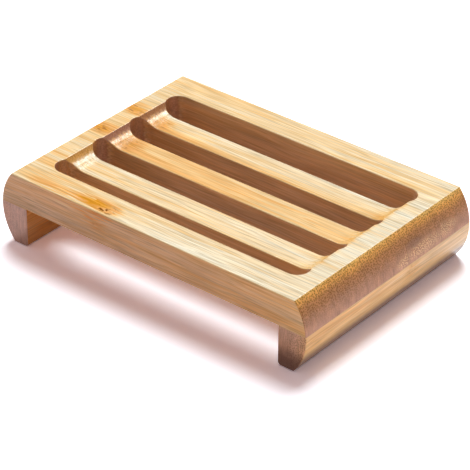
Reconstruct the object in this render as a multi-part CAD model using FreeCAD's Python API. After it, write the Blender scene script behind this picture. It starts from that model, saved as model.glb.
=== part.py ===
# Slatted soap dish: a board glued up from flat bamboo strips, standing on two glued foot bars.
# Sizes are in millimetres. The origin is the middle of the resting plane, with +X along the slats,
# +Y towards the rear border and +Z up.

import FreeCAD
import Part
import math
import os

from FreeCAD import Vector

# Outer form
LENGTH = 120.0            # over the swelling of both ends
BOARD_THICKNESS = 11.0
FOOT_HEIGHT = 13.6        # clear height under the board
END_SWELL = 4.5           # how far an end swells past its top and bottom arrises

# Layout across the depth, from the front: border, slot, slat, slot, and so on to the rear border
SLAT_COUNT = 3
SLAT_WIDTH = 9.2
SLOT_WIDTH = 8.35
BORDER_WIDTH = 10.5

# Drain slots and the hollow that holds the soap
END_LAND = 6.3            # flat land between an end's top arris and the slot ends
HOLLOW_DEPTH = 3.3        # how far the slats lie below the borders
HOLLOW_SWEEP = 7.5        # radius of the concave sweep from the slats up to the end lands
SLOT_OVERRUN = 0.5        # how far the slot ends run past the rim of the hollow

# Foot bars
FOOT_WIDTH = 10.3         # from the inner face to the widest point of the end
FOOT_ROUND = 1.2          # rounding along the inner bottom edge

# Sanded edges
ARRIS = 0.4

# Places that follow from the sizes
HEIGHT = FOOT_HEIGHT + BOARD_THICKNESS
PITCH = SLAT_WIDTH + SLOT_WIDTH
DEPTH = 2 * BORDER_WIDTH + SLAT_COUNT * PITCH + SLOT_WIDTH
FRONT_Y = -DEPTH / 2
SLOT_RADIUS = SLOT_WIDTH / 2
SLOT_YS = [FRONT_Y + BORDER_WIDTH + SLOT_RADIUS + i * PITCH for i in range(SLAT_COUNT + 1)]
ARRIS_X = LENGTH / 2 - END_SWELL
SLOT_END_X = ARRIS_X - END_LAND
SLOT_CENTRE_X = SLOT_END_X - SLOT_RADIUS
RIM_X = SLOT_END_X - SLOT_OVERRUN
SLAT_TOP = HEIGHT - HOLLOW_DEPTH
FOOT_INNER_X = LENGTH / 2 - FOOT_WIDTH

# Two points closer than this are the same point
TOUCH = 1e-5


def line(start, end):
    """Straight edge between two points."""
    return Part.LineSegment(Vector(*start), Vector(*end)).toShape()


def arc(start, middle, end):
    """Round edge through three points."""
    return Part.Arc(Vector(*start), Vector(*middle), Vector(*end)).toShape()


def prism(edges, along):
    """Solid swept by a closed outline along a vector."""
    return Part.Face(Part.Wire(edges)).extrude(Vector(*along))


def near(value, target):
    """True where a measured value is the target."""
    return abs(value - target) < TOUCH


def edge_middle(edge):
    """Point halfway along an edge."""
    return edge.valueAt((edge.FirstParameter + edge.LastParameter) / 2)


def shaped_blank():
    """Board and feet in one, with their end swelling, before any slot is cut."""
    y = FRONT_Y
    outline = [
        line((-ARRIS_X, y, HEIGHT), (ARRIS_X, y, HEIGHT)),
        arc((ARRIS_X, y, HEIGHT), (LENGTH / 2, y, HEIGHT / 2), (ARRIS_X, y, 0)),
        line((ARRIS_X, y, 0), (FOOT_INNER_X, y, 0)),
        line((FOOT_INNER_X, y, 0), (FOOT_INNER_X, y, FOOT_HEIGHT)),
        line((FOOT_INNER_X, y, FOOT_HEIGHT), (-FOOT_INNER_X, y, FOOT_HEIGHT)),
        line((-FOOT_INNER_X, y, FOOT_HEIGHT), (-FOOT_INNER_X, y, 0)),
        line((-FOOT_INNER_X, y, 0), (-ARRIS_X, y, 0)),
        arc((-ARRIS_X, y, 0), (-LENGTH / 2, y, HEIGHT / 2), (-ARRIS_X, y, HEIGHT)),
    ]
    blank = prism(outline, (0, DEPTH, 0))
    inner_bottoms = [
        edge for edge in blank.Edges
        if near(edge_middle(edge).z, 0) and near(abs(edge_middle(edge).x), FOOT_INNER_X)
    ]
    return blank.makeFillet(FOOT_ROUND, inner_bottoms)


def slot_cutter(y):
    """Round-ended drain slot through the board, centred on one line across the depth."""
    z = FOOT_HEIGHT
    front, rear = y - SLOT_RADIUS, y + SLOT_RADIUS
    outline = [
        line((-SLOT_CENTRE_X, front, z), (SLOT_CENTRE_X, front, z)),
        arc((SLOT_CENTRE_X, front, z), (SLOT_END_X, y, z), (SLOT_CENTRE_X, rear, z)),
        line((SLOT_CENTRE_X, rear, z), (-SLOT_CENTRE_X, rear, z)),
        arc((-SLOT_CENTRE_X, rear, z), (-SLOT_END_X, y, z), (-SLOT_CENTRE_X, front, z)),
    ]
    return prism(outline, (0, 0, HEIGHT))


def hollow_cutter():
    """Soap hollow: a flat floor that sweeps up to a rim at each end, from outer slot to outer slot."""
    y = SLOT_YS[0]
    sweep_run = math.sqrt(HOLLOW_DEPTH * (2 * HOLLOW_SWEEP - HOLLOW_DEPTH))
    half_turn = math.asin(sweep_run / HOLLOW_SWEEP) / 2
    floor_x = RIM_X - sweep_run
    sweep_x = floor_x + HOLLOW_SWEEP * math.sin(half_turn)
    sweep_z = SLAT_TOP + HOLLOW_SWEEP * (1 - math.cos(half_turn))
    above = HEIGHT + HOLLOW_DEPTH
    outline = [
        line((-floor_x, y, SLAT_TOP), (floor_x, y, SLAT_TOP)),
        arc((floor_x, y, SLAT_TOP), (sweep_x, y, sweep_z), (RIM_X, y, HEIGHT)),
        line((RIM_X, y, HEIGHT), (RIM_X, y, above)),
        line((RIM_X, y, above), (-RIM_X, y, above)),
        line((-RIM_X, y, above), (-RIM_X, y, HEIGHT)),
        arc((-RIM_X, y, HEIGHT), (-sweep_x, y, sweep_z), (-floor_x, y, SLAT_TOP)),
    ]
    return prism(outline, (0, SLOT_YS[-1] - y, 0))


def on_slot_wall(point):
    """True for a point on the wall of any drain slot."""
    past_centre = max(0, abs(point.x) - SLOT_CENTRE_X)
    return any(near(math.hypot(past_centre, point.y - y), SLOT_RADIUS) for y in SLOT_YS)


def is_sanded(edge):
    """True for an edge that a hand meets: slot tops, hollow rims, end arrises and the two long faces."""
    point = edge_middle(edge)
    if near(abs(point.y), DEPTH / 2):
        return True
    runs_across = near(abs(edge.tangentAt(edge.FirstParameter).y), 1)
    if runs_across and near(abs(point.x), ARRIS_X):
        return True
    if near(point.z, HEIGHT) and near(abs(point.x), RIM_X):
        return True
    return point.z > SLAT_TOP - TOUCH and on_slot_wall(point)


def finished_blank():
    """Blank with its hollow and slots milled and its edges sanded."""
    milled = shaped_blank().cut([hollow_cutter()] + [slot_cutter(y) for y in SLOT_YS])
    return milled.makeFillet(ARRIS, [edge for edge in milled.Edges if is_sanded(edge)])


def strip(blank, front, rear):
    """Strip of the board between two glue lines."""
    space = Part.makeBox(2 * LENGTH, rear - front, HEIGHT, Vector(-LENGTH, front, FOOT_HEIGHT))
    return blank.common(space)


def foot(blank, side):
    """Foot bar under one end: side is -1 for the left end and 1 for the right one."""
    space = Part.makeBox(LENGTH, 2 * DEPTH, FOOT_HEIGHT, Vector(min(0, side * LENGTH), -DEPTH, 0))
    return blank.common(space)


def pieces():
    """Every piece by name: glue lines run along the middle of each slot and under the board."""
    blank = finished_blank()
    found = {"front_border": strip(blank, -DEPTH, SLOT_YS[0])}
    for i in range(SLAT_COUNT):
        found[f"slat_{i + 1}"] = strip(blank, SLOT_YS[i], SLOT_YS[i + 1])
    found["rear_border"] = strip(blank, SLOT_YS[-1], DEPTH)
    found["left_foot"] = foot(blank, -1)
    found["right_foot"] = foot(blank, 1)
    return found


os.makedirs("parts", exist_ok=True)
for name, shape in pieces().items():
    box = shape.optimalBoundingBox(False)
    print(f"{name}: {len(shape.Solids)} solid, valid {shape.isValid()}, "
          f"{box.XLength:.2f} x {box.YLength:.2f} x {box.ZLength:.2f} mm, {shape.Volume:.1f} mm3")
    shape.exportStep(f"parts/{name}.step")
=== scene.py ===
"""Looks of a slatted bamboo soap dish: satin lacquered strips and feet, on a white studio floor."""

import logging
import math
from dataclasses import dataclass, fields
from enum import Enum
from typing import Sequence, Union

import bpy
from bpy.types import Material, Node, NodeSocket, Object, World
from mathutils import Matrix, Vector


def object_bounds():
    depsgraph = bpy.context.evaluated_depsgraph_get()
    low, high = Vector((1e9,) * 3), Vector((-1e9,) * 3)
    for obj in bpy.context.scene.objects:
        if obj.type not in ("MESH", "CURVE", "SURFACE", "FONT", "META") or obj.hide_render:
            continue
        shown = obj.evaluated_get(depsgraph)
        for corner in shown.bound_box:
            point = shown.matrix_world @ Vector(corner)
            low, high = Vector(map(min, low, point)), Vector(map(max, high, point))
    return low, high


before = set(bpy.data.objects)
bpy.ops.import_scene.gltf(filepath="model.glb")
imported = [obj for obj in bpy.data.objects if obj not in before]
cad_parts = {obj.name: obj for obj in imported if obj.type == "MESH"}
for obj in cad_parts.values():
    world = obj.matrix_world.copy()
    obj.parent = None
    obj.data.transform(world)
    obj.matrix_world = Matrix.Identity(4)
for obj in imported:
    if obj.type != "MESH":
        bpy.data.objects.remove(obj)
CAD_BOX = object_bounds()

LOG = logging.getLogger("soap_dish")
MM = 0.001

# Sizes of the solids, in mm
HALF_LENGTH = CAD_BOX[1].x / MM
HALF_DEPTH = CAD_BOX[1].y / MM
BOARD_TOP = CAD_BOX[1].z / MM
BOARD_UNDERSIDE = min(corner[2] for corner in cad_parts["front_border"].bound_box) / MM

Pair = tuple[float, float]
Triple = tuple[float, float, float]
Colour = tuple[float, float, float, float]
Value = Union[float, tuple, NodeSocket]
Stops = tuple[Pair, ...]
Shades = tuple[tuple[float, Colour], ...]

# Levels of a rise that runs down instead of up
FALLING = (1.0, 0.0)

# Middle of a noise, as a number and as a colour
NOISE_MIDDLE = 0.5
NOISE_MIDDLE_COLOUR = (NOISE_MIDDLE, NOISE_MIDDLE, NOISE_MIDDLE)

# Curve of a screen: straight near black, and a power above that
SCREEN_WHITE = 255
SCREEN_TOE = 0.04045
SCREEN_TOE_SLOPE = 12.92
SCREEN_OFFSET = 0.055
SCREEN_POWER = 2.4


def linear(level: int) -> float:
    """Takes the screen's curve off one channel of a colour.

    Args:
        level: The channel, from 0 to 255.

    Returns:
        Its strength, from 0 to 1.
    """
    share = level / SCREEN_WHITE
    if share <= SCREEN_TOE:
        return share / SCREEN_TOE_SLOPE
    return ((share + SCREEN_OFFSET) / (1 + SCREEN_OFFSET)) ** SCREEN_POWER


def paint(red: int, green: int, blue: int) -> Colour:
    """Turns a screen colour into one for Blender's sockets.

    Args:
        red: Red, from 0 to 255.
        green: Green, from 0 to 255.
        blue: Blue, from 0 to 255.

    Returns:
        The linear colour.
    """
    return (linear(red), linear(green), linear(blue), 1.0)


def inset(edge: float, insets: Pair) -> Pair:
    """Finds two places inside an edge.

    Args:
        edge: Place of the edge, in mm from the middle.
        insets: How far inside it the places are, in mm.

    Returns:
        The two places, in mm from the middle.
    """
    return (edge - insets[0], edge - insets[1])


class Grain(Enum):
    """Way that a piece's fibres run."""

    ALONG_SLATS = "x"
    ACROSS_SLATS = "y"


@dataclass(frozen=True)
class Pattern:
    """Noise with marks of one size.

    Attributes:
        size: Length, width and height of its marks, in mm.
        detail: How much finer detail its marks carry.
        swing: How far it moves what it drives.
    """

    size: Triple
    detail: float = 1.0
    swing: float = 0.0


class ShaderBench:
    """Lays out the nodes of one material or world."""

    def __init__(self, holder: Union[Material, World]) -> None:
        """Clears the node tree of a new material or world.

        Args:
            holder: The material or world.
        """
        holder.use_nodes = True
        self.tree = holder.node_tree
        self.tree.nodes.clear()

    def add(self, kind: str, **settings: object) -> Node:
        """Adds a node and sets its options.

        Args:
            kind: Blender's name of the node, without its ShaderNode prefix.
            **settings: The node's own properties.

        Returns:
            The new node.
        """
        node = self.tree.nodes.new("ShaderNode" + kind)
        for name, value in settings.items():
            setattr(node, name, value)
        return node

    def feed(self, socket: NodeSocket, value: Value) -> None:
        """Links a socket to another one, or sets it to a plain value.

        Args:
            socket: The socket that takes the value.
            value: The other socket, or the plain value.
        """
        if isinstance(value, NodeSocket):
            self.tree.links.new(value, socket)
        else:
            socket.default_value = value

    def feed_all(self, node: Node, values: Sequence[Value]) -> None:
        """Feeds the first sockets of a node.

        Args:
            node: The node that takes the values.
            values: One value for each socket, in the order of the sockets.
        """
        for socket, value in zip(node.inputs, values):
            self.feed(socket, value)

    def math(self, operation: str, *values: Value) -> NodeSocket:
        """Works on numbers.

        Args:
            operation: Blender's name of the operation.
            *values: The numbers, in the order of the node's sockets.

        Returns:
            The resulting number.
        """
        node = self.add("Math", operation=operation)
        self.feed_all(node, values)
        return node.outputs[0]

    def vector(self, operation: str, *values: Value) -> NodeSocket:
        """Works on vectors.

        Args:
            operation: Blender's name of the operation.
            *values: The vectors, in the order of the node's sockets.

        Returns:
            The resulting vector, or a number where the operation gives a length.
        """
        node = self.add("VectorMath", operation=operation)
        self.feed_all(node, values)
        return node.outputs["Value" if operation == "LENGTH" else "Vector"]

    def scaled(self, vector: NodeSocket, factor: Value) -> NodeSocket:
        """Multiplies a vector or colour by a number.

        Args:
            vector: The vector or colour.
            factor: The number.

        Returns:
            The scaled vector or colour.
        """
        node = self.add("VectorMath", operation="SCALE")
        self.feed(node.inputs["Vector"], vector)
        self.feed(node.inputs["Scale"], factor)
        return node.outputs["Vector"]

    def split(self, vector: NodeSocket) -> tuple[NodeSocket, NodeSocket, NodeSocket]:
        """Takes a vector apart.

        Args:
            vector: The vector.

        Returns:
            Its parts along X, Y and Z.
        """
        node = self.add("SeparateXYZ")
        self.feed(node.inputs[0], vector)
        return tuple(node.outputs)

    def joined(self, *parts: NodeSocket) -> NodeSocket:
        """Puts a vector together.

        Args:
            *parts: Its parts along X, Y and Z; a part that is left out is 0.

        Returns:
            The vector.
        """
        node = self.add("CombineXYZ")
        self.feed_all(node, parts)
        return node.outputs[0]

    def share(self, value: Value, span: Pair) -> NodeSocket:
        """Finds how much of a span a number has run through.

        Args:
            value: The number.
            span: First and last value of the span.

        Returns:
            The share, from 0 to 1.
        """
        node = self.add("MapRange")
        self.feed_all(node, (value, *span))
        return node.outputs[0]

    def step(self, value: Value, between: Pair, levels: Pair = (0.0, 1.0)) -> NodeSocket:
        """Moves smoothly from one level to another.

        Args:
            value: The number that drives the move.
            between: Where the move starts and ends.
            levels: Levels before and after the move.

        Returns:
            The level.
        """
        node = self.add("MapRange", interpolation_type="SMOOTHSTEP")
        self.feed_all(node, (value, *between, *levels))
        return node.outputs[0]

    def noise(self, place: NodeSocket, pattern: Pattern) -> Node:
        """Makes cloudy noise.

        Args:
            place: Place of each point, in mm.
            pattern: Size and detail of the noise.

        Returns:
            The noise's node, with a number and a colour.
        """
        node = self.add("TexNoise")
        self.feed(node.inputs["Vector"], self.vector("DIVIDE", place, pattern.size))
        node.inputs["Scale"].default_value = 1.0
        node.inputs["Detail"].default_value = pattern.detail
        return node

    def cells(self, place: NodeSocket, scatter: float) -> NodeSocket:
        """Lays flat cells around scattered points, one to a unit square.

        Args:
            place: Place of each point, in units of the cells' size.
            scatter: How far the points leave an even lattice, from 0 to 1.

        Returns:
            Distance from the nearest point.
        """
        node = self.add("TexVoronoi", voronoi_dimensions="2D")
        self.feed(node.inputs["Vector"], place)
        node.inputs["Scale"].default_value = 1.0
        node.inputs["Randomness"].default_value = scatter
        return node.outputs["Distance"]

    def curve(self, value: NodeSocket, span: Pair, stops: Stops) -> NodeSocket:
        """Follows given stops along a span.

        Args:
            value: The number that runs along the span.
            span: First and last value of the span.
            stops: Pairs of a value in the span and its level.

        Returns:
            The level between the stops.
        """
        first, last = span
        greys = tuple(((at - first) / (last - first), (level, level, level, 1.0)) for at, level in stops)
        return self.shades(self.share(value, span), greys, "EASE")

    def shades(self, value: NodeSocket, stops: Shades, blend: str = "LINEAR") -> NodeSocket:
        """Follows the stops of a colour ramp.

        Args:
            value: The number that runs along the ramp, from 0 to 1.
            stops: Pairs of a value and its colour.
            blend: Blender's name for the way from one stop to the next.

        Returns:
            The colour between the stops.
        """
        node = self.add("ValToRGB")
        node.color_ramp.interpolation = blend
        elements = node.color_ramp.elements
        while len(elements) < len(stops):
            elements.new(1.0)
        for element, (at, colour) in zip(elements, stops):
            element.position = at
            element.color = colour
        self.feed(node.inputs[0], value)
        return node.outputs["Color"]

    def blend(self, share: Value, first: Value, second: Value) -> NodeSocket:
        """Mixes two colours.

        Args:
            share: How much of the second colour there is, from 0 to 1.
            first: The first colour.
            second: The second colour.

        Returns:
            The mixed colour.
        """
        node = self.add("Mix", data_type="RGBA")
        self.feed(node.inputs["Factor"], share)
        first_socket, second_socket = (socket for socket in node.inputs if socket.type == "RGBA")
        self.feed(first_socket, first)
        self.feed(second_socket, second)
        return next(socket for socket in node.outputs if socket.type == "RGBA")

    def shader(self, kind: str, *parts: Value) -> NodeSocket:
        """Makes a shader from a colour, or from other shaders.

        Args:
            kind: Blender's name of the node, without its ShaderNode prefix.
            *parts: What its first sockets take, in their order.

        Returns:
            The shader.
        """
        node = self.add(kind)
        self.feed_all(node, parts)
        return node.outputs[0]

    def end(self, output: str, shader: NodeSocket) -> None:
        """Ends the tree with its surface shader.

        Args:
            output: Blender's name of the output node, without its ShaderNode prefix.
            shader: The surface shader.
        """
        self.feed(self.add(output).inputs["Surface"], shader)


@dataclass(frozen=True)
class Knot:
    """Growth node of the stem, where the fibres turn orange and wind about.

    Attributes:
        centre: Its middle, in mm.
        radii: Half its length, width and height, in mm.
        stain: How far it moves the tone towards amber.
        specks: How strongly its dark specks show.
        swirl: How far its fibres wander, in mm.
    """

    centre: Triple
    radii: Triple
    stain: float
    specks: float = 0.0
    swirl: float = 0.0


@dataclass(frozen=True)
class EndPatch:
    """Patch of a cut end where the stem's growth shows.

    Attributes:
        centre: Its middle, in mm.
        radii: Half its size along each axis, in mm.
        colour: Its colour.
        share: How much of the colour shows in its middle.
        ticks: True where the colour shows only in the fibre bundles.
    """

    centre: Triple
    radii: Triple
    colour: Colour
    share: float = 1.0
    ticks: bool = False


@dataclass(frozen=True)
class EndGrain:
    """Cut ends of the fibres, from the skin of the stem inwards.

    Attributes:
        depth: Thickness from the skin to the inside of the stem, in mm.
        shades: Stops of the ground's colour from the skin, at 0, to the inside, at 1.
        dots: Stops of how strongly the fibre bundles show, from the skin to the inside.
        dot: Colour of the bundles.
    """

    depth: float
    shades: Shades
    dots: Stops
    dot: Colour


BOARD_END = EndGrain(
    depth=BOARD_TOP - BOARD_UNDERSIDE,
    shades=((0.00, paint(255, 208, 110)), (0.10, paint(250, 185, 90)), (0.27, paint(201, 141, 80)),
            (0.45, paint(191, 134, 81)), (0.64, paint(193, 140, 98)), (1.00, paint(203, 152, 122))),
    dots=((0.0, 0.62), (0.3, 0.60), (0.5, 0.50), (0.64, 0.30), (0.8, 0.14), (1.0, 0.08)),
    dot=paint(112, 70, 14))
LEFT_FOOT_END = EndGrain(
    depth=10.0,
    shades=((0.00, paint(233, 197, 170)), (0.40, paint(239, 209, 192)), (1.00, paint(233, 201, 180))),
    dots=((0.0, 0.30), (0.5, 0.14), (1.0, 0.06)),
    dot=paint(120, 84, 66))
RIGHT_FOOT_END = EndGrain(
    depth=10.0,
    shades=((0.00, paint(232, 188, 136)), (0.45, paint(218, 178, 146)), (1.00, paint(216, 174, 142))),
    dots=((0.0, 0.55), (0.5, 0.40), (0.8, 0.10), (1.0, 0.05)),
    dot=paint(110, 76, 52))

# Colours of the patches on the board's right end
PALE_TICKS = paint(240, 204, 150)
DARK_CLOUD = paint(140, 98, 72)


@dataclass(frozen=True)
class BambooFinish:
    """Satin lacquered bamboo of one piece, in millimetres from the middle of the resting plane.

    Attributes:
        name: Name of the material.
        grain: Way that the fibres run.
        shift: Moves the pattern, so that no two pieces share it.
        tone: Stops of the tone along the grain: 0 is cream, 1 is amber.
        flank: The same stops on the piece's upright faces.
        middle: Middle of the piece across the grain.
        lean: Change of tone for each millimetre from the middle.
        knots: Growth nodes of the piece.
        end: Cut ends of its fibres.
        patches: Patches on its cut ends.
        damp: How strongly shade is painted on the piece towards its base, where it stands on the floor.
        sweep: Colour where the left end of a slat sweeps up across the fibres; its brown is partly painted
            shade.
        coat: Weight of the lacquer.
    """

    name: str
    grain: Grain
    shift: Triple
    tone: Stops
    flank: Stops = ((-60, 0.45), (60, 0.49))
    middle: float = 0.0
    lean: float = 0.0
    knots: tuple[Knot, ...] = ()
    end: EndGrain = BOARD_END
    patches: tuple[EndPatch, ...] = ()
    damp: float = 0.0
    sweep: Colour = paint(173, 111, 72)
    coat: float = 0.30


class Bamboo:
    """Builds the material of one finish from its fibres, growth nodes and cut ends, with painted highlights
    on its edges and painted shade on its slot walls and towards the feet's base.

    A pair named RISE holds the two values between which a look comes in, and a pair named FADE holds those
    between which it goes out. Faces are told apart by the parts of their normal, from 0 to 1.
    """

    # Paths of the fibres
    SWAYS = Pattern(size=(26.0, 11.0, 11.0), swing=1.6)
    SWIRLS = Pattern(size=(5.0, 2.2, 2.2))
    ACROSS_FIBRES = (0.0, 1.0, 1.0)

    # Tone of the fibres, with its stops between two places along them
    SPAN = (-62.0, 62.0)
    TONES = (
        (0.00, paint(243, 232, 204)),
        (0.30, paint(243, 217, 171)),
        (0.55, paint(241, 197, 125)),
        (0.80, paint(236, 169, 65)),
        (1.00, paint(228, 154, 46)),
    )
    BANDS = Pattern(size=(70.0, 3.0, 3.0), detail=1.5, swing=0.8)
    STREAKS = Pattern(size=(30.0, 0.8, 0.8), detail=2.0, swing=0.6)
    PINS = Pattern(size=(36.0, 0.42, 0.42), swing=0.50)
    LEAN_INSETS = (17.0, 10.0)
    FLANK_RISE = (0.5, 0.9)
    FLANK_CALM = 0.5

    # Stains and specks of the knots
    KNOT_FADE = (0.2, 1.1)
    KNOT_RAGGED = 1.2
    STAINS = Pattern(size=(8.0, 0.6, 0.6))
    STAIN_RISE = (0.38, 0.60)
    STAIN_LEVELS = (0.35, 1.3)
    STAIN_MATT_RISE = (0.4, 0.8)
    SPECKS = Pattern(size=(2.2, 0.9, 0.9))
    SPECK = paint(130, 74, 12)
    SPECK_RISE = (0.58, 0.67)
    SPECK_FADE = (0.30, 0.75)

    # Fine dark fibres, which show less on an amber ground
    HAIRS = Pattern(size=(14.0, 0.34, 0.34))
    HAIR = paint(168, 138, 74)
    HAIR_RISE = (0.52, 0.63)
    HAIR_FADE = (0.2, 0.7)
    HAIR_SHARES = (0.42, 0.126)

    # Brightness of lines and clouds on top and upright faces, and of the board's sides from below to above
    LINES = Pattern(size=(15.0, 0.46, 0.46))
    LINE_TOP = 0.85
    LINE_SIDE = 0.75
    LINE_END_CALM = 0.4
    CLOUDS = Pattern(size=(34.0, 3.4, 3.4), detail=1.5)
    CLOUD_TOP = 0.2
    CLOUD_SIDE = 0.6
    SIDE_LEVELS = (-0.08, 0.08)
    UPRIGHT_FADE = (0.25, 0.75)

    # Painted highlight along the edges
    ARRIS = paint(255, 234, 176)
    ARRIS_RISE = (0.06, 0.34)
    ARRIS_SHARE = 0.42

    # Sweeps at the ends of the slats, with their colours at two shares of the span; the left colours are
    # browner partly as painted shade
    SWEEP_RISE = (0.54, 0.70)
    SWEEP_RAGGED = 0.3
    SWEEP_STOPS = (0.30, 0.70)
    RIGHT_SWEEP = paint(236, 174, 80)

    # Painted shade on the slot walls, which lie inside the long faces
    MILLED = paint(204, 160, 125)
    MILLED_SHARE = 0.62
    MILLED_INSETS = (2.0, 1.0)

    # Cut ends: their waves, lines and fibre bundles
    CUT_RISE = (0.35, 0.55)
    CUT_INSETS = (5.2, 4.4)
    END_WAVES = Pattern(size=(200.0, 13.0, 13.0), swing=2.6)
    END_LINES = Pattern(size=(200.0, 0.40, 6.0))
    END_LINE_RISE = (0.45, 0.70)
    END_LINE_SHARE = 0.24
    DOT_SIZE = (160.0, 0.68, 0.60)
    DOT_SCATTER = 0.8
    DOT_FADE = (0.20, 0.44)
    DEPTH_SPAN = (0.0, 1.0)
    PATCH_FADE = (0.3, 1.0)

    # Painted shade towards the feet's base, by height in mm
    DAMP = paint(106, 74, 58)
    DAMP_FADE = (3.4, 8.8)
    DAMP_WAVE = 3.0

    # Lacquer
    ROUGH_RISE = (0.2, 0.8)
    ROUGHNESS = (0.34, 0.46)
    GLINT = 1.6
    SPECULAR = 0.30
    COAT_ROUGHNESS = 0.16
    BUMP_STRENGTH = 0.25
    BUMP_HEIGHT = 0.06 * MM

    def __init__(self, finish: BambooFinish) -> None:
        """Starts the material and finds each point's place, facing and fibres.

        Args:
            finish: Finish of the piece.
        """
        self.finish = finish
        self.made: Material = bpy.data.materials.new(finish.name)
        self.bench = ShaderBench(self.made)
        bench = self.bench
        coordinates = bench.add("TexCoord")
        self.place = bench.scaled(coordinates.outputs["Object"], 1 / MM)
        x, y, self.height = bench.split(self.place)
        facing_x, facing_y, facing_z = bench.split(coordinates.outputs["Normal"])
        if finish.grain is Grain.ALONG_SLATS:
            self.along, self.across, cut, side = x, y, facing_x, facing_y
        else:
            self.along, self.across, cut, side = y, x, facing_y, facing_x
        self.cut = bench.math("ABSOLUTE", cut)
        self.side = bench.math("ABSOLUTE", side)
        self.rise = bench.math("ABSOLUTE", facing_z)
        self.matt: Value = 0.0
        self.knot_distances = [self.distance(knot) for knot in finish.knots]
        self.fibre = self.fibre_place()
        self.band = self.fibre_noise(self.BANDS)
        self.streak = self.fibre_noise(self.STREAKS)
        self.pin = self.fibre_noise(self.PINS)
        self.line = self.fibre_noise(self.LINES)
        self.hair = self.fibre_noise(self.HAIRS)

    def distance(self, spot: Union[Knot, EndPatch]) -> NodeSocket:
        """Measures how far each point is from the middle of a knot or patch.

        Args:
            spot: The knot or patch.

        Returns:
            The distance, where 1 is its edge.
        """
        away = self.bench.vector("SUBTRACT", self.place, spot.centre)
        return self.bench.vector("LENGTH", self.bench.vector("DIVIDE", away, spot.radii))

    def fibre_place(self) -> NodeSocket:
        """Lays the fibres, which sway along the stem and wind about the knots.

        Returns:
            Each point's place along, across and below the fibres, in mm.
        """
        bench = self.bench
        place = bench.vector("ADD", bench.joined(self.along, self.across, self.height), self.finish.shift)
        sway = bench.noise(place, self.SWAYS).outputs["Color"]
        amount = tuple(self.SWAYS.swing * part for part in self.ACROSS_FIBRES)
        fibre = bench.vector("MULTIPLY_ADD", sway, amount, place)
        for knot, distance in zip(self.finish.knots, self.knot_distances):
            if knot.swirl:
                swirl = bench.noise(place, self.SWIRLS).outputs["Color"]
                swirl = bench.vector("SUBTRACT", swirl, NOISE_MIDDLE_COLOUR)
                swirl = bench.scaled(swirl, bench.step(distance, self.KNOT_FADE, (knot.swirl, 0.0)))
                fibre = bench.vector("MULTIPLY_ADD", swirl, self.ACROSS_FIBRES, fibre)
        return fibre

    def fibre_noise(self, pattern: Pattern) -> NodeSocket:
        """Draws a pattern out along the fibres.

        Args:
            pattern: Size and detail of the noise.

        Returns:
            The noise, as a number.
        """
        return self.bench.noise(self.fibre, pattern).outputs["Fac"]

    def swing(self, noise: NodeSocket, amount: Value, base: Value = 0.0) -> NodeSocket:
        """Swings a number evenly above and below its base.

        Args:
            noise: The noise that drives the swing.
            amount: Size of the swing.
            base: The number without the swing.

        Returns:
            The number with the swing.
        """
        bench = self.bench
        return bench.math("MULTIPLY_ADD", bench.math("SUBTRACT", noise, NOISE_MIDDLE), amount, base)

    def take_shine(self, share: NodeSocket) -> None:
        """Takes the shine off where a share is high.

        Args:
            share: How much of the shine goes, from 0 to 1.
        """
        self.matt = self.bench.math("MAXIMUM", self.matt, share)

    def tone(self) -> NodeSocket:
        """Works out the tone of the fibres away from the knots.

        Returns:
            The tone, from 0 for cream to 1 for amber.
        """
        bench, finish = self.bench, self.finish
        tone = bench.curve(self.along, self.SPAN, finish.tone)
        if finish.lean:
            aside = bench.math("SUBTRACT", self.across, finish.middle)
            ends = inset(HALF_LENGTH, self.LEAN_INSETS)
            leaning = bench.step(bench.math("ABSOLUTE", self.along), ends, (finish.lean, 0.0))
            tone = bench.math("MULTIPLY_ADD", aside, leaning, tone)
        change = bench.math("SUBTRACT", bench.curve(self.along, self.SPAN, finish.flank), tone)
        tone = bench.math("MULTIPLY_ADD", change, bench.step(self.side, self.FLANK_RISE), tone)
        stripes = self.swing(self.streak, self.STREAKS.swing, self.swing(self.band, self.BANDS.swing))
        stripes = self.swing(self.pin, self.PINS.swing, stripes)
        calm = bench.step(self.side, self.FLANK_RISE, (1.0, self.FLANK_CALM))
        return bench.math("MULTIPLY_ADD", stripes, calm, tone)

    def stain(self, tone: NodeSocket) -> NodeSocket:
        """Stains the fibres around the knots.

        Args:
            tone: Tone away from the knots.

        Returns:
            Tone with the stains.
        """
        bench = self.bench
        if not self.finish.knots:
            return tone
        streaky = bench.step(self.fibre_noise(self.STAINS), self.STAIN_RISE, self.STAIN_LEVELS)
        for knot, distance in zip(self.finish.knots, self.knot_distances):
            ragged = self.swing(self.streak, self.KNOT_RAGGED, distance)
            stained = bench.step(ragged, self.KNOT_FADE, (knot.stain, 0.0))
            tone = bench.math("MULTIPLY_ADD", stained, streaky, tone)
            self.take_shine(bench.step(stained, self.STAIN_MATT_RISE))
        return tone

    def long_grain(self) -> NodeSocket:
        """Colours a surface that runs with the fibres.

        Returns:
            The colour.
        """
        bench = self.bench
        tone = self.stain(self.tone())
        hairs = bench.step(self.hair, self.HAIR_RISE)
        hairs = bench.math("MULTIPLY", hairs, bench.step(tone, self.HAIR_FADE, self.HAIR_SHARES))
        return self.speckle(bench.blend(hairs, bench.shades(tone, self.TONES), self.HAIR))

    def speckle(self, colour: NodeSocket) -> NodeSocket:
        """Puts dark specks around the knots.

        Args:
            colour: Colour without the specks.

        Returns:
            Colour with the specks.
        """
        bench = self.bench
        for knot, distance in zip(self.finish.knots, self.knot_distances):
            if knot.specks:
                spots = bench.noise(self.place, self.SPECKS).outputs["Fac"]
                specks = bench.step(spots, self.SPECK_RISE, (0.0, knot.specks))
                specks = bench.math("MULTIPLY", specks, bench.step(distance, self.SPECK_FADE, FALLING))
                colour = bench.blend(specks, colour, self.SPECK)
                self.take_shine(specks)
        return colour

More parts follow.
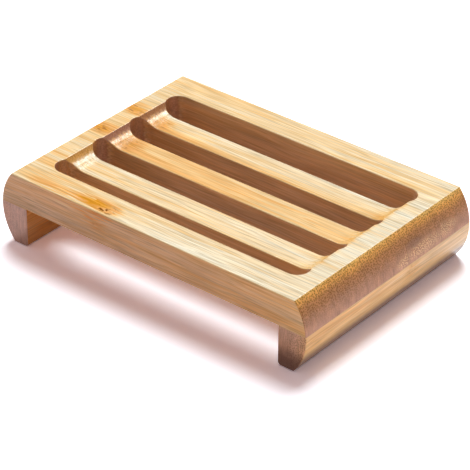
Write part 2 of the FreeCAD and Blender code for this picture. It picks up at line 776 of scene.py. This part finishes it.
    def shade(self, colour: NodeSocket, crosswise: NodeSocket) -> NodeSocket:
        """Darkens and brightens single fibres and clouds, and the board's sides towards the underside.

        Args:
            colour: Colour before the shading.
            crosswise: Share of the cut ends, from 0 to 1.

        Returns:
            Colour after the shading.
        """
        bench = self.bench
        upright = bench.step(self.rise, self.UPRIGHT_FADE, FALLING)
        lines = bench.math("MULTIPLY_ADD", upright, self.LINE_SIDE - self.LINE_TOP, self.LINE_TOP)
        calm = bench.step(crosswise, (0.0, 1.0), (1.0, self.LINE_END_CALM))
        factor = self.swing(self.line, bench.math("MULTIPLY", lines, calm), 1.0)
        clouds = bench.math("MULTIPLY_ADD", upright, self.CLOUD_SIDE - self.CLOUD_TOP, self.CLOUD_TOP)
        factor = self.swing(self.fibre_noise(self.CLOUDS), clouds, factor)
        if self.finish.grain is Grain.ALONG_SLATS:
            brighter = bench.step(self.height, (BOARD_UNDERSIDE, BOARD_TOP), self.SIDE_LEVELS)
            sides = bench.math("MULTIPLY", upright, bench.math("SUBTRACT", 1.0, crosswise))
            factor = bench.math("MULTIPLY_ADD", brighter, sides, factor)
        return bench.scaled(colour, factor)

    def skin_depth(self) -> NodeSocket:
        """Measures how deep each point of a cut end lies below the skin of the stem.

        Returns:
            The depth, from 0 at the skin to 1 at the inside.
        """
        bench = self.bench
        if self.finish.grain is Grain.ALONG_SLATS:
            depth = bench.math("SUBTRACT", BOARD_TOP, self.height)
        else:
            depth = bench.math("SUBTRACT", HALF_LENGTH, bench.math("ABSOLUTE", self.across))
        wavy = self.swing(self.fibre_noise(self.END_WAVES), self.END_WAVES.swing, depth)
        return bench.math("DIVIDE", wavy, self.finish.end.depth)

    def end_grain(self, crosswise: NodeSocket) -> NodeSocket:
        """Colours the cut ends: a ground that changes from the skin inwards, dotted with fibre bundles.

        Args:
            crosswise: Share of the cut ends, from 0 to 1.

        Returns:
            The colour.
        """
        bench, end = self.bench, self.finish.end
        depth = self.skin_depth()
        lines = bench.step(self.fibre_noise(self.END_LINES), self.END_LINE_RISE, (0.0, self.END_LINE_SHARE))
        colour = bench.blend(lines, bench.shades(depth, end.shades), end.dot)
        _, across, below = bench.split(bench.vector("DIVIDE", self.fibre, self.DOT_SIZE))
        dots = bench.step(bench.cells(bench.joined(across, below), self.DOT_SCATTER), self.DOT_FADE, FALLING)
        dots_shown = bench.math("MULTIPLY", dots, bench.curve(depth, self.DEPTH_SPAN, end.dots))
        colour = bench.blend(dots_shown, colour, end.dot)
        self.take_shine(bench.math("MULTIPLY", dots_shown, crosswise))
        for patch in self.finish.patches:
            share = bench.step(self.distance(patch), self.PATCH_FADE, (patch.share, 0.0))
            if patch.ticks:
                share = bench.math("MULTIPLY", share, dots)
            colour = bench.blend(share, colour, patch.colour)
        return colour

    def wear(self, colour: NodeSocket) -> NodeSocket:
        """Paints a highlight along the edges and colours the sweeps across the fibres.

        Args:
            colour: Colour of the long grain.

        Returns:
            Colour with the painted edge highlights and the sweeps.
        """
        bench = self.bench
        # Painted highlight along the rounded edges between the tops and the sides
        edge = bench.math("MULTIPLY", self.side, self.rise)
        edge_highlight = bench.step(edge, self.ARRIS_RISE, (0.0, self.ARRIS_SHARE))
        colour = bench.blend(edge_highlight, colour, self.ARRIS)
        # The left sweeps are browner than the right partly as painted shade, where they turn away from the
        # key light
        sweeps = tuple(zip(self.SWEEP_STOPS, (self.finish.sweep, self.RIGHT_SWEEP)))
        sweep_colour = bench.shades(bench.share(self.along, self.SPAN), sweeps)
        ragged = self.swing(self.streak, self.SWEEP_RAGGED, self.cut)
        return bench.blend(bench.step(ragged, self.SWEEP_RISE), colour, sweep_colour)

    def colour(self) -> NodeSocket:
        """Colours the whole piece: long grain, painted edge highlights, sweeps, painted shade on the slot
        walls, cut ends, and painted shade towards the feet's base.

        Returns:
            The colour.
        """
        bench, finish = self.bench, self.finish
        colour = self.wear(self.long_grain())
        crosswise = bench.step(self.cut, self.CUT_RISE)
        if finish.grain is Grain.ALONG_SLATS:
            # Painted shade darkens the upright slot walls inside the long faces
            walls = bench.step(self.rise, self.UPRIGHT_FADE, (self.MILLED_SHARE, 0.0))
            long_faces = inset(HALF_DEPTH, self.MILLED_INSETS)
            inside = bench.step(bench.math("ABSOLUTE", self.across), long_faces, FALLING)
            colour = bench.blend(bench.math("MULTIPLY", walls, inside), colour, self.MILLED)
            ends = inset(HALF_LENGTH, self.CUT_INSETS)
            outside = bench.step(bench.math("ABSOLUTE", self.along), ends)
            crosswise = bench.math("MULTIPLY", crosswise, outside)
        colour = self.shade(bench.blend(crosswise, colour, self.end_grain(crosswise)), crosswise)
        # Painted shade, darker towards the base of the feet where they stand on the floor
        if finish.damp:
            level = self.swing(self.band, self.DAMP_WAVE, self.height)
            colour = bench.blend(bench.step(level, self.DAMP_FADE, (finish.damp, 0.0)), colour, self.DAMP)
        return colour

    def material(self) -> Material:
        """Ends the material with its satin lacquer.

        Returns:
            The bamboo, as one procedural material.
        """
        bench = self.bench
        shader = bench.add("BsdfPrincipled")
        bench.feed(shader.inputs["Base Color"], self.colour())
        bench.feed(shader.inputs["Roughness"], bench.step(self.hair, self.ROUGH_RISE, self.ROUGHNESS))
        glint = bench.math("MAXIMUM", self.swing(self.line, self.GLINT, 1.0), 0.0)
        shine = bench.math("MULTIPLY", bench.math("SUBTRACT", 1.0, self.matt), glint)
        bench.feed(shader.inputs["Specular IOR Level"], bench.math("MULTIPLY", shine, self.SPECULAR))
        bench.feed(shader.inputs["Coat Weight"], bench.math("MULTIPLY", shine, self.finish.coat))
        shader.inputs["Coat Roughness"].default_value = self.COAT_ROUGHNESS
        bump = bench.add("Bump")
        bump.inputs["Strength"].default_value = self.BUMP_STRENGTH
        bump.inputs["Distance"].default_value = self.BUMP_HEIGHT
        bench.feed(bump.inputs["Height"], bench.math("ADD", self.streak, self.hair))
        bench.feed(shader.inputs["Normal"], bump.outputs[0])
        bench.end("OutputMaterial", shader.outputs[0])
        return self.made


@dataclass
class DressedPieces:
    """Pieces of the dish that are dressed together: each field is the finish of the node with its name."""

    def dress(self, nodes: dict[str, Object]) -> None:
        """Gives each piece its own bamboo.

        Args:
            nodes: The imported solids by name.
        """
        for piece in fields(self):
            self.cover(nodes[piece.name], Bamboo(getattr(self, piece.name)).material())

    @staticmethod
    def cover(piece: Object, material: Material) -> None:
        """Puts one material on the whole of a piece.

        Args:
            piece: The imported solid.
            material: The material.
        """
        piece.data.materials.clear()
        piece.data.materials.append(material)
        LOG.info("%s: %s, %d faces", piece.name, material.name, len(piece.data.polygons))


@dataclass
class GluedBoard(DressedPieces):
    """Slotted board: the strips between the front and rear borders, edge to edge."""

    front_border: BambooFinish = BambooFinish(
        name="front_border_bamboo", grain=Grain.ALONG_SLATS, shift=(13.0, 7.0, 3.0),
        tone=((-60, 0.52), (-46, 0.58), (-30, 0.46), (-20, 0.46), (-8, 0.42), (5, 0.35), (18, 0.28),
              (60, 0.24)),
        middle=-36.0, lean=0.03,
        knots=(Knot(centre=(-24.0, -37.6, 23.5), radii=(11.5, 4.3, 6.0), stain=0.82, swirl=1.6),
               Knot(centre=(-18.8, -38.0, 24.4), radii=(7.0, 4.5, 3.0), stain=0.50, specks=1.0),
               Knot(centre=(-38.0, -38.8, 24.6), radii=(18.0, 3.0, 2.0), stain=0.50),
               Knot(centre=(-20.5, -41.0, 19.5), radii=(6.0, 2.0, 3.0), stain=0.20, specks=0.3, swirl=1.2)))
    slat_1: BambooFinish = BambooFinish(
        name="slat_1_bamboo", grain=Grain.ALONG_SLATS, shift=(51.0, 29.0, 11.0),
        tone=((-60, 0.50), (-40, 0.40), (0, 0.37), (40, 0.36), (48, 0.49), (50.5, 0.16), (60, 0.16)),
        middle=-17.5, lean=-0.01, sweep=paint(222, 160, 62))
    slat_2: BambooFinish = BambooFinish(
        name="slat_2_bamboo", grain=Grain.ALONG_SLATS, shift=(97.0, 43.0, 5.0),
        tone=((-60, 0.50), (-36, 0.71), (0, 0.64), (24, 0.57), (40, 0.56), (48, 0.63), (50.5, 0.16),
              (60, 0.16)),
        lean=-0.02,
        knots=(Knot(centre=(-43.5, 0.0, 21.5), radii=(7.5, 7.0, 2.5), stain=0.58, specks=0.4, swirl=0.8),
               Knot(centre=(-53.0, -2.0, 24.6), radii=(8.0, 4.5, 2.0), stain=0.66, specks=0.6, swirl=0.8)),
        patches=(EndPatch(centre=(59.4, 9.0, 15.6), radii=(4.0, 8.0, 2.8), colour=PALE_TICKS, ticks=True),))
    slat_3: BambooFinish = BambooFinish(
        name="slat_3_bamboo", grain=Grain.ALONG_SLATS, shift=(29.0, 71.0, 17.0),
        tone=((-60, 0.46), (-36, 0.50), (0, 0.45), (24, 0.41), (40, 0.40), (48, 0.62), (50.5, 0.18),
              (60, 0.16)),
        middle=17.5, lean=-0.065, sweep=paint(178, 114, 50),
        knots=(Knot(centre=(-44.0, 16.0, 21.5), radii=(7.0, 5.5, 2.5), stain=0.56, specks=0.4, swirl=0.8),
               Knot(centre=(-52.5, 14.0, 24.6), radii=(8.0, 4.5, 2.0), stain=0.66, specks=0.6, swirl=0.8)),
        patches=(EndPatch(centre=(59.2, 18.0, 16.2), radii=(4.0, 14.0, 3.3), colour=PALE_TICKS, ticks=True),
                 EndPatch(centre=(58.5, 13.0, 19.2), radii=(4.0, 6.5, 1.8), colour=DARK_CLOUD, share=0.5)))
    rear_border: BambooFinish = BambooFinish(
        name="rear_border_bamboo", grain=Grain.ALONG_SLATS, shift=(71.0, 13.0, 23.0),
        tone=((-60, 0.45), (-40, 0.48), (0, 0.43), (30, 0.41), (60, 0.33)),
        patches=(EndPatch(centre=(59.2, 27.5, 17.0), radii=(4.0, 9.5, 3.2), colour=PALE_TICKS, ticks=True),))


@dataclass
class FootBars(DressedPieces):
    """Pair of foot bars glued under the ends of the board, with their fibres across the slats."""

    # Shade is painted towards each foot's base, much stronger on the right foot
    left_foot: BambooFinish = BambooFinish(
        name="left_foot_bamboo", grain=Grain.ACROSS_SLATS, shift=(7.0, 83.0, 31.0),
        tone=((-60, 0.50), (0, 0.45), (60, 0.45)), flank=((-60, 0.75), (60, 0.70)),
        end=LEFT_FOOT_END, damp=0.18)
    right_foot: BambooFinish = BambooFinish(
        name="right_foot_bamboo", grain=Grain.ACROSS_SLATS, shift=(37.0, 19.0, 47.0),
        tone=((-60, 0.50), (60, 0.45)), flank=((-60, 0.58), (0, 0.54), (24, 0.46), (60, 0.41)),
        knots=(Knot(centre=(60.0, 11.0, 11.0), radii=(4.0, 5.0, 4.0), stain=0.14, specks=0.2, swirl=0.8),),
        end=RIGHT_FOOT_END, damp=0.82, coat=0.40)


@dataclass(frozen=True)
class Softbox:
    """Round soft light that faces the dish, unseen by the camera.

    Attributes:
        name: Name of the light.
        elevation: Its angle above the floor, in degrees.
        azimuth: Its turn from the rear towards the left, in degrees.
        distance: Its distance from the middle of the resting plane, in metres.
        diameter: Its size, in metres.
        power: Its power, in watts.
        colour: Its colour.
        lights_faces: False where it only shows as sheen in the lacquer.
    """

    name: str
    elevation: float
    azimuth: float
    distance: float
    diameter: float
    power: float
    colour: Triple
    lights_faces: bool = True

    def hang(self) -> Object:
        """Hangs the light in its place.

        Returns:
            The light.
        """
        light = bpy.data.lights.new(self.name, "AREA")
        light.shape = "DISK"
        light.size = self.diameter
        light.energy = self.power
        light.color = self.colour
        up, turn = math.radians(self.elevation), math.radians(self.azimuth)
        towards = Vector((-math.sin(turn) * math.cos(up), math.cos(turn) * math.cos(up), math.sin(up)))
        across = towards.cross(Vector((1, 0, 0))).normalized()
        axes = Matrix((across.cross(towards), across, towards)).transposed()
        softbox = bpy.data.objects.new(self.name, light)
        softbox.matrix_world = Matrix.Translation(towards * self.distance) @ axes.to_4x4()
        softbox.visible_camera = False
        softbox.visible_diffuse = self.lights_faces
        bpy.context.scene.collection.objects.link(softbox)
        return softbox


@dataclass
class Studio:
    """White floor, cool key light above the left rear, sheen in the lacquer and an even warm fill.

    Attributes:
        floor_side: Side of the square floor, in metres.
        floor_seen: Colour of the floor to the camera, which sees it twice as bright.
        floor_lift: Glow of the floor, which lightens its shadows.
        front_bounce: Colour of the light that the floor throws back at the front.
        right_bounce: Colour of the light that the floor throws back at the right.
        bounce_change: Where along X the one bounce turns into the other, in metres.
        key: Light that makes the shadow.
        sheen: Light that shows only in the lacquer.
        fill_colour: Colour of the room's even light.
        fill_strength: Strength of the room's even light.
        white: Colour of the room to the camera.
    """

    floor_side: float = 8.0
    floor_seen: Colour = (0.84, 0.83, 0.875, 1.0)
    floor_lift: Colour = (0.035, 0.033, 0.045, 1.0)
    front_bounce: Colour = (0.565, 0.32, 0.268, 1.0)
    right_bounce: Colour = (1.33, 1.12, 1.00, 1.0)
    bounce_change: Pair = (0.054, 0.074)
    key: Softbox = Softbox(name="key_softbox", elevation=59.4, azimuth=34.0, distance=3.0, diameter=1.7,
                           power=85.5, colour=(0.90, 0.985, 1.0))
    sheen: Softbox = Softbox(name="sheen_softbox", elevation=47.0, azimuth=-12.0, distance=3.0, diameter=0.90,
                             power=52.0, colour=(1.0, 0.98, 0.95), lights_faces=False)
    fill_colour: Colour = (1.0, 0.766, 0.727, 1.0)
    fill_strength: float = 0.29
    white: Colour = (1.0, 1.0, 1.0, 1.0)

    def build(self) -> None:
        """Makes the floor, the lights and the room."""
        self.lay_floor()
        self.key.hang()
        self.sheen.hang()
        self.fill_room()

    def lay_floor(self) -> None:
        """Lays the floor under the dish."""
        half = self.floor_side / 2
        corners = [(-half, -half, 0), (half, -half, 0), (half, half, 0), (-half, half, 0)]
        mesh = bpy.data.meshes.new("studio_floor")
        mesh.from_pydata(corners, [], [range(len(corners))])
        mesh.materials.append(self.floor_material())
        floor = bpy.data.objects.new("studio_floor", mesh)
        bpy.context.scene.collection.objects.link(floor)

    def floor_material(self) -> Material:
        """Makes the floor white to the camera, with the dish's shadow, and clear from below.

        Returns:
            The floor's material, which throws tinted light back at the dish.
        """
        material = bpy.data.materials.new("studio_floor_white")
        bench = ShaderBench(material)
        seen = bench.shader("BsdfDiffuse", self.floor_seen)
        twice = bench.shader("AddShader", seen, seen)
        bright = bench.shader("AddShader", twice, bench.shader("Emission", self.floor_lift))
        along = bench.split(bench.add("TexCoord").outputs["Object"])[0]
        rightward = bench.step(along, self.bounce_change)
        bounce = bench.shader("BsdfDiffuse", bench.blend(rightward, self.front_bounce, self.right_bounce))
        above = bench.shader("MixShader", self.seen_ray(bench), bounce, bright)
        from_below = bench.add("NewGeometry").outputs["Backfacing"]
        clear = bench.shader("BsdfTransparent")
        bench.end("OutputMaterial", bench.shader("MixShader", from_below, above, clear))
        return material

    @staticmethod
    def seen_ray(bench: ShaderBench) -> NodeSocket:
        """Tells rays which show the studio, to the camera, in gloss or through glass, from all others.

        Args:
            bench: The bench that gets the nodes.

        Returns:
            1 for a ray which shows the studio, 0 for a ray that only gathers light.
        """
        path = bench.add("LightPath").outputs
        seen = bench.math("MAXIMUM", path["Is Camera Ray"], path["Is Glossy Ray"])
        return bench.math("MAXIMUM", seen, path["Is Transmission Ray"])

    def fill_room(self) -> None:
        """Fills the room with even light, and shows plain white to the camera."""
        world = bpy.data.worlds.new("studio_room")
        bpy.context.scene.world = world
        bench = ShaderBench(world)
        fill = bench.shader("Background", self.fill_colour, self.fill_strength)
        seen = bench.shader("Background", self.white)
        bench.end("OutputWorld", bench.shader("MixShader", self.seen_ray(bench), fill, seen))


@dataclass
class PhotoCamera:
    """Camera at the photograph's place, worked out from the straight edges of the dish.

    Attributes:
        azimuth: Its turn from the front towards the right, in degrees.
        elevation: Its angle above the floor, in degrees.
        roll: Its tilt about the line of sight, in degrees.
        distance: Its distance from the middle of the dish's top, in metres.
        aim: How far it stands to the right of that middle and above it in the picture, in metres.
        lens: Its focal length, in mm.
        clip_near: Nearest distance that it sees, in metres.
        clip_far: Furthest distance that it sees, in metres.
    """

    azimuth: float = 39.24
    elevation: float = 32.18
    roll: float = 0.19
    distance: float = 766.7 * MM
    aim: Pair = (0.1 * MM, -16.93 * MM)
    lens: float = 191.32
    clip_near: float = 0.01
    clip_far: float = 50.0

    def build(self) -> Object:
        """Makes the camera and looks through it.

        Returns:
            The camera.
        """
        turn, up = math.radians(self.azimuth), math.radians(self.elevation)
        right = Vector((math.cos(turn), math.sin(turn), 0))
        back = Vector((math.sin(turn) * math.cos(up), -math.cos(turn) * math.cos(up), math.sin(up)))
        axes = Matrix((right, back.cross(right), back)).transposed()
        axes = axes @ Matrix.Rotation(math.radians(self.roll), 3, "Z")
        top = Vector((0, 0, CAD_BOX[1].z))
        data = bpy.data.cameras.new("photo_camera")
        data.lens = self.lens
        data.clip_start = self.clip_near
        data.clip_end = self.clip_far
        camera = bpy.data.objects.new("photo_camera", data)
        place = top + axes @ Vector((*self.aim, self.distance))
        camera.matrix_world = Matrix.Translation(place) @ axes.to_4x4()
        bpy.context.scene.collection.objects.link(camera)
        bpy.context.scene.camera = camera
        return camera


def main() -> None:
    """Dresses the dish and sets the studio around it."""
    logging.basicConfig(level=logging.INFO, format="%(name)s: %(message)s")
    bpy.context.scene.view_settings.view_transform = "Standard"
    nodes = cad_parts
    GluedBoard().dress(nodes)
    FootBars().dress(nodes)
    Studio().build()
    PhotoCamera().build()


if __name__ == "__main__":
    main()
